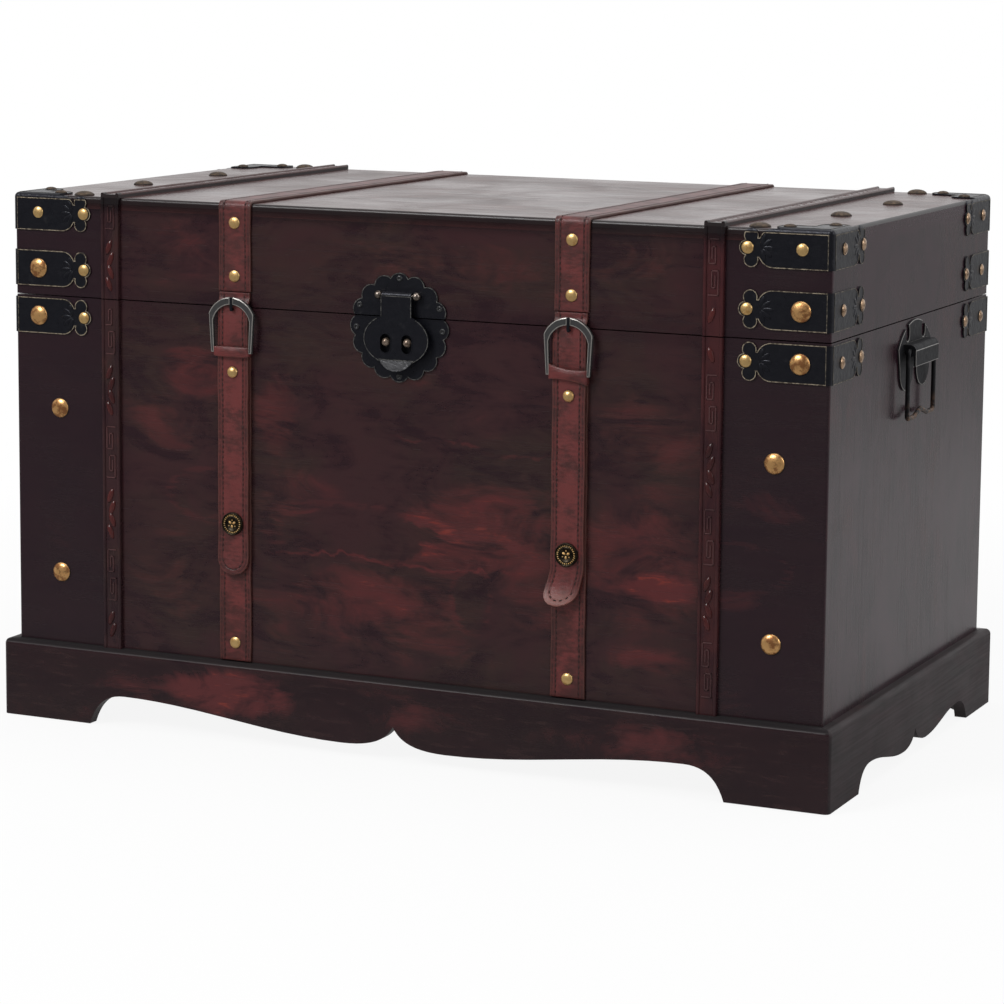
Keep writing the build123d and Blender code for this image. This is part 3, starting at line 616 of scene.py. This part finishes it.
def loopRoute(along):  # round a flat rectangle with round corners, from its back
    half, depth, corner = keeper["half"], keeper["back"] - keeper["front"], keeper["corner"]
    straights = [2 * half - 2 * corner, depth - 2 * corner] * 2
    bend = corner * math.pi / 2
    heading, x, y = 0.0, -half + corner, keeper["back"]
    for straight in straights:
        ahead = Vector((math.cos(heading), -math.sin(heading)))
        if along <= straight:
            return x + ahead.x * along, y + ahead.y * along
        x, y, along = x + ahead.x * straight, y + ahead.y * straight, along - straight
        middle = Vector((x, y)) + Vector((ahead.y, -ahead.x)) * corner
        turn = min(along, bend) / corner
        out = Vector((-ahead.y, ahead.x)) * corner
        spot = middle + Vector((out.x * math.cos(turn) + ahead.x * corner * math.sin(turn),
                                out.y * math.cos(turn) + ahead.y * corner * math.sin(turn)))
        if along <= bend:
            return spot.x, spot.y
        x, y, along, heading = spot.x, spot.y, along - bend, heading + math.pi / 2
    return -half + corner, keeper["back"]


loopLeather = leatherFinish("loopLeather", keeper["edge"], stitched=False)
loopLength = 4 * keeper["half"] + 2 * (keeper["back"] - keeper["front"]) - (8 - 2 * math.pi) * keeper["corner"]
for sideName, side in bothSides.items():
    centre = side * strap["offset"]

    def layLoop(across, along):
        x, y = loopRoute(along)
        facing = 1.0 if y < keeper["front"] + 0.3 * mm else 0.0
        share = x / keeper["half"]
        swell = keeper["swell"] * math.cos(across / keeper["height"] * 2.9) * (1 - share**2) * facing
        flare = 1 + keeper["flare"][sideName] * share**2
        return Vector((centre + x, y - swell, keeper["middle"] + across * flare + keeper["tilt"][sideName] * x))

    strip(f"keeper_leather_{sideName}", keeper["height"] / 2, loopLength, layLoop, loopLeather,
          f"strap_{sideName}", [f"keeper_{sideName}"], columns=6, thick=keeper["thick"], row=keeper["row"])
print("keepers laid")


# Sheet metal: the CAD outline with a thin bare edge raised round each outer face

rim = {"width": 0.6 * mm, "rise": 0.25 * mm, "split": 320 * mm, "byCorner": 317.5 * mm, "lip": 289.4 * mm,
       "slot": Vector((8.4 * mm, 301.5 * mm)), "slotReach": 8.5 * mm,
       "front": 181.5 * mm, "ends": 321.5 * mm, "top": 395.5 * mm, "lock": 182 * mm, "hasp": 187 * mm}


def cleaned(nodeName, angle=1.5):
    bm = bmesh.new()
    bm.from_mesh(nodes[nodeName].data)
    bmesh.ops.remove_doubles(bm, verts=bm.verts, dist=0.002 * mm)
    bmesh.ops.dissolve_limit(bm, angle_limit=math.radians(angle), verts=bm.verts, edges=bm.edges)
    return bm


def edgeMetal(face, metal):
    # the split and the hasp's slots have no pale edge, and a corner has a dim one
    spot = face.calc_center_median()
    slot = Vector((abs(spot.x), spot.z)) - rim["slot"]
    if abs(spot.z - rim["split"]) < 1.2 * mm or (spot.y < -rim["hasp"] and slot.length < rim["slotReach"]):
        return 0
    return 2 if abs(spot.x) > rim["byCorner"] else metal


def rimmed(name, nodeName, body, outers, materials, bare=None):
    # outers are (axis, sign, least distance along it, edge's material) of the faces that get an edge, and
    # the flat faces below the height bare are bare metal
    bm = cleaned(nodeName)
    for axis, sign, least, metal in outers:
        flat = [face for face in bm.faces
                if face.normal[axis] * sign > 0.999 and face.calc_center_median()[axis] * sign > least]
        if not flat:
            continue
        ring = bmesh.ops.inset_region(bm, faces=flat, thickness=rim["width"], depth=0,
                                      use_even_offset=True, use_boundary=True)["faces"]
        for face in ring:
            face.material_index = edgeMetal(face, metal)
        raised = bmesh.ops.extrude_face_region(bm, geom=ring)["geom"]
        raised = [part for part in raised if isinstance(part, bmesh.types.BMVert)]
        lift = Vector((0, 0, 0))
        lift[axis] = sign * rim["rise"]
        bmesh.ops.translate(bm, verts=raised, vec=lift)
        bmesh.ops.delete(bm, geom=[face for face in ring if face.is_valid], context="FACES_ONLY")
    for face in bm.faces:
        if bare and face.calc_center_median().z < bare and face.material_index == 0 and len(face.verts) < 60:
            face.material_index = 2
    finished(name, bm, materials, body, [nodeName], smooth=False)


iron, rimSteel = finishes["iron"], finishes["rimSteel"]
strapMetals = [iron, finishes["rimBrass"], finishes["rimDim"]]
# the edges on the ends and the caps' tops take the darker copy, painted as shade
walls = [(axis, sign, rim[face], metal) for axis, face, metal in ((1, "front", 1), (0, "ends", 2))
         for sign in (-1, 1)]
lockFace, haspFace, capTop = [(1, -1, rim["lock"], 1)], [(1, -1, rim["hasp"], 1)], [(2, 1, rim["top"], 2)]
rimmed("body_straps_edged", "body_corner_straps", "chest", walls, strapMetals)
rimmed("lid_straps_edged", "lid_corner_straps", "lid", walls, strapMetals)
rimmed("lid_caps_edged", "lid_corner_caps", "lid", walls + capTop, strapMetals)
rimmed("lock_plate_upper_edged", "lock_plate_upper", "lid", lockFace, [iron, rimSteel])
rimmed("lock_plate_lower_edged", "lock_plate_lower", "chest", lockFace, [iron, rimSteel])
rimmed("hasp_edged", "hasp", "hasp", haspFace, [iron, rimSteel, finishes["lipSteel"]], rim["lip"])


# Pressed ornament on the corner straps: a fan of petals between the nails

petal = {"reach": 5.5 * mm, "turns": (-72, -38, 0, 38, 72), "size": (4.6 * mm, 1.7 * mm, 0.42 * mm),
         "back": 50.5 * mm, "endWall": 321 * mm, "frontWall": 181 * mm, "sheet": 1 * mm}
petalArms = [("body_strap_petals", 304.8 * mm, "chest"), ("lid_strap_petals", 340.2 * mm, "lid"),
             ("lid_cap_petals", 381.75 * mm, "lid")]


def petals(bm, at, sideways, outward):
    # at is the root of the fan, sideways points along the arm towards the corner
    basis = Matrix((sideways, outward.cross(sideways), outward)).transposed().to_4x4()
    for degrees in petal["turns"]:
        turn = Matrix.Rotation(math.radians(degrees), 4, "Z") @ Matrix.Translation((petal["reach"], 0, 0))
        bead(bm, Matrix.Translation(at) @ basis @ turn, petal["size"])


def strapOrnament(name, height, body):
    bm = bmesh.new()
    alongX, alongY = petal["endWall"] - petal["back"], petal["frontWall"] - petal["back"]
    proudX, proudY = petal["endWall"] + petal["sheet"], petal["frontWall"] + petal["sheet"]
    for sx in (-1, 1):
        for sy in (-1, 1):
            towardsX, towardsY = Vector((sx, 0, 0)), Vector((0, sy, 0))
            petals(bm, Vector((sx * alongX, sy * proudY, height)), towardsX, towardsY)
            petals(bm, Vector((sx * proudX, sy * alongY, height)), towardsY, towardsX)
    finished(name, bm, [iron], body)


for name, height, body in petalArms:
    strapOrnament(name, height, body)
print("sheet metal edged")


# Turned pieces: a profile of radius and height, spun about its axis

def joined(start):  # every vertex that edges join to this one
    found, seen, queue = [], {start}, [start]
    while queue:
        vertex = queue.pop()
        found.append(vertex)
        for edge in vertex.link_edges:
            other = edge.other_vert(vertex)
            if other not in seen:
                seen.add(other)
                queue.append(other)
    return found


def turned(bm, profile, matrix, steps=24):
    first = [bm.verts.new((radius * mm, 0, height * mm)) for radius, height in profile]
    edges = [bm.edges.new(pair) for pair in zip(first, first[1:])]
    bmesh.ops.spin(bm, geom=first + edges, cent=(0, 0, 0), axis=(0, 0, 1), dvec=(0, 0, 0),
                   angle=2 * math.pi, steps=steps, use_merge=True, use_duplicate=False)
    made = joined(first[0])
    bmesh.ops.remove_doubles(bm, verts=made, dist=0.005 * mm)
    made = [vertex for vertex in made if vertex.is_valid]
    bmesh.ops.transform(bm, matrix=matrix, verts=made)
    return made


def facingFront(x, y, z):
    return Matrix.Translation((x * mm, y * mm, z * mm)) @ Matrix.Rotation(math.radians(90), 4, "X")


# Nails: a domed head wherever the CAD has one, with darker copies of its metal painted as shade on the sides
# and top of the chest, and a dark foot painted as contact shadow

nail = {"steps": 20, "rings": 6, "sunk": 0.2, "rim": 0.36, "small": ("nailBrass", "nailDim", "nailBrown"),
        "large": ("nailCopper", "nailCopper", "nailBrown")}
ways = [(1, -1, 0), (1, 1, 0), (0, -1, 1), (0, 1, 1), (2, 1, 2)]  # axis, sign, which of the three finishes


def nailHeads(name, nodeName, body, kind):
    heads, bm = cleaned(nodeName, 0), bmesh.new()
    seen = set()
    for vertex in heads.verts:
        if vertex in seen:
            continue
        part = joined(vertex)
        seen.update(part)
        low, high = ([pick(spot.co[axis] for spot in part) for axis in range(3)] for pick in (min, max))
        thin = min(range(3), key=lambda axis: high[axis] - low[axis])
        middle = Vector((lowest + highest for lowest, highest in zip(low, high))) / 2
        axis, sign, slot = next(way for way in ways if way[0] == thin and middle[thin] * way[1] > 0)
        radius, rise = max(high[at] - low[at] for at in range(3)) / 2 / mm, (high[thin] - low[thin]) / mm
        outward = Vector((0, 0, 0))
        outward[axis] = sign
        middle[axis] = low[axis] if sign > 0 else high[axis]
        seat = Matrix.Translation(middle) @ outward.to_track_quat("Z", "Y").to_matrix().to_4x4()
        turns = [math.pi / 2 * (1 - at / nail["rings"]) for at in range(nail["rings"] + 1)]
        dome = [(radius * math.cos(turn), rise * math.sin(turn)) for turn in turns]
        made = turned(bm, dome + [(radius, -nail["sunk"]), (0, -nail["sunk"])], seat, nail["steps"])
        # the lowest band of each head is painted dark as contact shadow; the rest takes the finish for its
        # facing
        for face in {face for spot in made for face in spot.link_faces}:
            height = (seat.inverted() @ face.calc_center_median()).z / mm
            face.material_index = 3 if height < nail["rim"] * rise else slot
    heads.free()
    metals = [finishes[finishName] for finishName in (*nail[kind], "nailRim")]
    finished(name, bm, metals, body, [nodeName])


nailHeads("body_small_heads", "body_small_nails", "chest", "small")
nailHeads("lid_small_heads", "lid_small_nails", "lid", "small")
nailHeads("body_large_heads", "body_large_nails", "chest", "large")
nailHeads("lid_large_heads", "lid_large_nails", "lid", "large")
for sideName in bothSides:
    nailHeads(f"rivet_head_{sideName}", f"strap_rivet_{sideName}", f"strap_{sideName}", "small")
print("nails driven")


# The lock's rivets and posts, and the snaps: turned from profiles in mm

lock = {"face": -182.2, "middle": 312.5, "posts": 302.3, "postsApart": 8.4, "postsLeft": 0.4,
        "rivets": {"lid": [(0, 35), (-31.5, 15), (31.5, 15)], "chest": [(-34, -1), (34, -1), (0, -35)]}}
hollowRivet = [(0.0, 0.25), (0.8, 0.25), (0.9, 0.9), (1.5, 1.0), (2.1, 0.6), (2.3, 0.0)]
for body, places in lock["rivets"].items():
    bm = bmesh.new()
    for x, rise in places:
        turned(bm, hollowRivet, facingFront(x, lock["face"], lock["middle"] + rise), 16)
    finished(f"lock_rivets_{body}", bm, [finishes["darkSteel"]], body)

ballPost = [(0.0, 6.2), (1.2, 6.0), (2.3, 5.3), (3.0, 4.2), (3.1, 3.3), (2.7, 2.2), (2.0, 1.3), (1.5, 0.7),
            (1.5, 0.0)]
bm = bmesh.new()
for side in (-1, 1):
    x = side * lock["postsApart"] - lock["postsLeft"]
    turned(bm, ballPost, facingFront(x, lock["face"], lock["posts"]), 20)
finished("ball_posts", bm, [finishes["bronze"]], "chest", ["lock_posts"])

snap = {"height": 161.5, "face": 1.7, "beads": 26,  # beads, petals and dots: how far out, and half sizes
        "bead": (6.4, (0.75, 0.42, 0.5)), "petal": (1.9, (1.35, 0.95, 0.8)), "dot": (2.9, (0.5, 0.5, 0.5))}
snapProfile = [(0, 1.7), (4.6, 1.6), (4.9, 2.1), (5.4, 2.1), (5.7, 1.5), (7.2, 1.5), (7.5, 2.5), (8.1, 2.5),
               (8.5, 1.9), (8.5, 0)]
for sideName, side in bothSides.items():
    bm = bmesh.new()
    seat = facingFront(side * strap["offset"] / mm, strap["tongueFront"] / mm, snap["height"])
    turned(bm, snapProfile, seat, 36)
    finished(f"snap_dish_{sideName}", bm, [finishes["antique"]], f"strap_{sideName}", [f"snap_cap_{sideName}"])
    bm = bmesh.new()
    ring = [(count / snap["beads"] * 2 * math.pi, "bead", 8) for count in range(snap["beads"])]
    rosette = [(count / 6 * 2 * math.pi + 0.5, "dot" if count % 2 else "petal", 10) for count in range(6)]
    for angle, shape, segments in ring + rosette:  # a milled ring round a three petalled rosette
        reach, size = snap[shape]
        turn = Matrix.Rotation(angle, 4, "Z") @ Matrix.Translation((reach * mm, 0, snap["face"] * mm))
        bead(bm, seat @ turn @ Matrix.Scale(mm, 4), size, segments)
    finished(f"snap_beads_{sideName}", bm, [finishes["nailBrass"]], f"strap_{sideName}")
print("lock and snaps dressed")


# Buckles and handles: the CAD shapes with a pale edge round each outer face, partly wear and partly painted
# highlight

litWornEdgeSize = {"buckle": (0.65 * mm, 0.3 * mm), "handle": (0.5 * mm, 0.2 * mm)}  # width and rise


def wornAndLitEdges(name, nodeName, body, materials, axis, sign, width, rise):
    bm = cleaned(nodeName)
    flat = [face for face in bm.faces if face.normal[axis] * sign > 0.995]
    ring = bmesh.ops.inset_region(bm, faces=flat, thickness=width, depth=rise, use_even_offset=True,
                                  use_boundary=True)["faces"]
    # the ring round each outer face takes the pale finish: partly wear, partly painted highlight
    for face in ring:
        face.material_index = 1
    finished(name, bm, materials, body, [nodeName], smooth=False)


for sideName, side in bothSides.items():
    wornAndLitEdges(f"buckle_frame_{sideName}", f"buckle_{sideName}", f"strap_{sideName}",
           [finishes["gunmetal"], finishes["paleIron"]], 1, -1, *litWornEdgeSize["buckle"])
    wornAndLitEdges(f"handle_shield_{sideName}", f"handle_plate_{sideName}", "chest",
           [finishes["handleIron"], finishes["wornIron"]], 0, side, *litWornEdgeSize["handle"])


# Carving on the battens, in mm: frets between sprays of leaves, much lower on the lid's top

carve = {"period": 92.5, "phase": {"left": 160.0, "right": 136.0}, "line": 0.9, "rise": 0.7,
         "bevel": 0.18 * mm, "leaf": (2.3, 6.0, 1.5), "leafTurn": 20, "leafEnd": 5, "fretEnd": 1,
         "leaves": ((13.5, -1.0), (4.6, 0.4)),  # how far from a spray's middle, and how far across
         "batten": 237.5, "front": -183.4, "top": 397.4, "topRelief": 0.25,
         "body": (59, 318), "lidFront": (322, 394), "lidTop": (-176, 176)}
fretPath = [(-3.4, -19), (3.4, -19), (3.4, -2.5), (-1.2, -2.5), (-1.2, -14), (1.2, -14), (1.2, -6)]


def carving(name, toWorld, field, phase, body, finishNames=("carvedWood", "carvedLeaf")):
    # toWorld takes a point (across, along, outward) of the batten's field, in mm, to the scene
    frets, leaves = bmesh.new(), bmesh.new()
    (low, high), period = field, carve["period"]
    first = math.floor((low - phase) / period) - 1
    for count in range(first, first + int((high - low) / period) + 4):
        middle = phase + count * period
        for offset, across in carve["leaves"]:
            for sign in (-1, 1):
                along = middle + sign * offset
                if low + carve["leafEnd"] < along < high - carve["leafEnd"]:
                    place = toWorld @ Matrix.Translation((across, along, 0))
                    turn = Matrix.Rotation(math.radians(-sign * carve["leafTurn"]), 4, "Z")
                    bead(leaves, place @ turn, carve["leaf"])
        key = middle + period / 2
        for sign in (-1, 1):
            for (u, v), (uNext, vNext) in zip(fretPath, fretPath[1:]):
                start, end = Vector((u, v)) * sign, Vector((uNext, vNext)) * sign
                along = key + (start.y + end.y) / 2
                wide, long = abs(end.x - start.x), abs(end.y - start.y)
                if low + carve["fretEnd"] < along - long / 2 and along + long / 2 < high - carve["fretEnd"]:
                    place = toWorld @ Matrix.Translation(((start.x + end.x) / 2, along, 0))
                    width, length = wide + carve["line"], long + carve["line"]
                    bmesh.ops.create_cube(frets, size=1,
                                          matrix=place @ Matrix.Diagonal((width, length, 2 * carve["rise"], 1)))
    bmesh.ops.bevel(frets, geom=frets.edges[:], offset=carve["bevel"], offset_type="OFFSET", affect="EDGES",
                    segments=1, profile=0.5, material=-1, clamp_overlap=True)
    # the frets take a lighter finish as painted highlight, the leaves a redder one, partly painted highlight
    fretWood, leafWood = (finishes[finishName] for finishName in finishNames)
    finished(f"{name}_fret", frets, [fretWood], body, smooth=False)
    finished(f"{name}_leaves", leaves, [leafWood], body)


for sideName, side in bothSides.items():
    x, phase, relief = side * carve["batten"], carve["phase"][sideName], carve["topRelief"]
    upright = Matrix.Diagonal((mm, mm, mm, 1)) @ Matrix.Translation((x, carve["front"], 0))
    upright = upright @ Matrix.Rotation(math.radians(90), 4, "X")
    level = Matrix.Diagonal((mm, mm, mm * relief, 1)) @ Matrix.Translation((x, 0, carve["top"] / relief))
    carving(f"body_{sideName}", upright, carve["body"], phase, "chest")
    carving(f"lid_front_{sideName}", upright, carve["lidFront"], phase, "lid")
    carving(f"lid_top_{sideName}", level, carve["lidTop"], phase, "lid", ("topBatten", "topBatten"))
print("battens carved")


# The stage: a pale floor, soft lamps and the photograph's viewpoint

view = {
    "place": (1.0342, -2.2469, 0.5832),
    "azimuth": 24.793, "elevation": 7.969, "roll": 0.503,
    "lens": 117.82, "shift": -0.0996,
}
lampAim = Vector((0, 0, 0.2))
lamps = [  # name, place, size, watts
    ("key", (-0.9, -1.9, 1.9), 0.9, 34),
    ("overhead", (0.3, 0.2, 2.4), 1.4, 16),
    ("rightSide", (2.4, -0.2, 1.3), 1.0, 10),
]
room = {"depth": (-0.85, 0.6), "near": 0.13, "rise": 0.69, "soft": 0.55}  # as mirrored, near and far
ground = {"radius": 12, "drop": 0.5 * mm, "grey": (0.78, 0.78, 0.78),
          "mirrored": (-0.8, 0.5), "near": 0.06, "rise": 0.41, "far": (1.0, 2.6), "fall": 0.2,
          "runsOut": (0.15, 1.4), "shown": 0.9}


def placeCamera():
    azimuth, elevation, roll = (math.radians(view[key]) for key in ("azimuth", "elevation", "roll"))
    forward = Vector((-math.sin(azimuth) * math.cos(elevation), math.cos(azimuth) * math.cos(elevation),
                      -math.sin(elevation)))
    right = forward.cross(Vector((0, 0, 1))).normalized()
    up = right.cross(forward)
    across = right * math.cos(roll) + up * math.sin(roll)
    upward = up * math.cos(roll) - right * math.sin(roll)
    data = bpy.data.cameras.new("camera")
    data.lens, data.sensor_width, data.shift_y = view["lens"], 36, view["shift"]
    data.clip_start, data.clip_end = 0.05, 50
    camera = bpy.data.objects.new("camera", data)
    turn = Matrix((across, upward, -forward)).transposed().to_4x4()
    camera.matrix_world = Matrix.Translation(view["place"]) @ turn
    bpy.context.scene.collection.objects.link(camera)
    bpy.context.scene.camera = camera


def placeLamps():
    for name, place, size, watts in lamps:
        data = bpy.data.lights.new(name, "AREA")
        data.size, data.energy = size, watts
        lamp = bpy.data.objects.new(name, data)
        lamp.location = place
        lamp.rotation_euler = (Vector(place) - lampAim).to_track_quat("Z", "Y").to_euler()
        bpy.context.scene.collection.objects.link(lamp)


def makeWorld():
    # mirrored rays see a bright backdrop behind the chest and a dimmer room behind the camera
    sky = Finish(bpy.data.worlds.new("studio"))
    camera, glossy, clear = sky.rays("Camera", "Glossy", "Transmission")
    _, depth, _ = sky.split(sky.place("Generated"))
    level = depth.steps(*room["depth"]) * room["rise"] + room["near"]
    soft, mirrored, white = (sky.node("ShaderNodeBackground", {}, {"Color": (1, 1, 1), "Strength": strength})
                             for strength in (room["soft"], level, 1.0))
    lit = sky.node("ShaderNodeMixShader", {}, {0: glossy.most(clear), 1: soft, 2: mirrored})
    shown = sky.node("ShaderNodeMixShader", {}, {0: camera, 1: lit, 2: white})
    bpy.context.scene.world = sky.output(shown, "ShaderNodeOutputWorld")


def makeFloor():
    bm = bmesh.new()
    bmesh.ops.create_circle(bm, cap_ends=True, segments=64, radius=ground["radius"])
    bmesh.ops.translate(bm, verts=bm.verts, vec=(0, 0, -ground["drop"]))
    mesh = bpy.data.meshes.new("floor")
    bm.to_mesh(mesh)
    bm.free()
    finish = Finish("paleFloor")
    camera, glossy = finish.rays("Camera", "Glossy")
    x, y, _ = finish.split(finish.place())
    plain = finish.node("ShaderNodeBsdfDiffuse", {}, {"Color": ground["grey"]})
    mirrored = y.steps(*ground["mirrored"]) * ground["rise"] + ground["near"]
    light = camera.most(mirrored - y.steps(*ground["far"]) * ground["fall"])
    glow = finish.node("ShaderNodeEmission", {}, {"Color": finish.blend(light, (0, 0, 0), (1, 1, 1))})
    far = (x * x + y * y).steps(*ground["runsOut"])  # the floor runs out into the white backdrop
    share = camera * (far * (1 - ground["shown"]) + ground["shown"]) + glossy * ground["shown"]
    lit = finish.node("ShaderNodeMixShader", {}, {0: share, 1: plain, 2: glow})
    mesh.materials.append(finish.output(lit))
    floor = bpy.data.objects.new("floor", mesh)
    bpy.context.scene.collection.objects.link(floor)


placeCamera()
placeLamps()
makeWorld()
makeFloor()
bpy.context.scene.view_settings.view_transform = "Standard"
print("stage set")
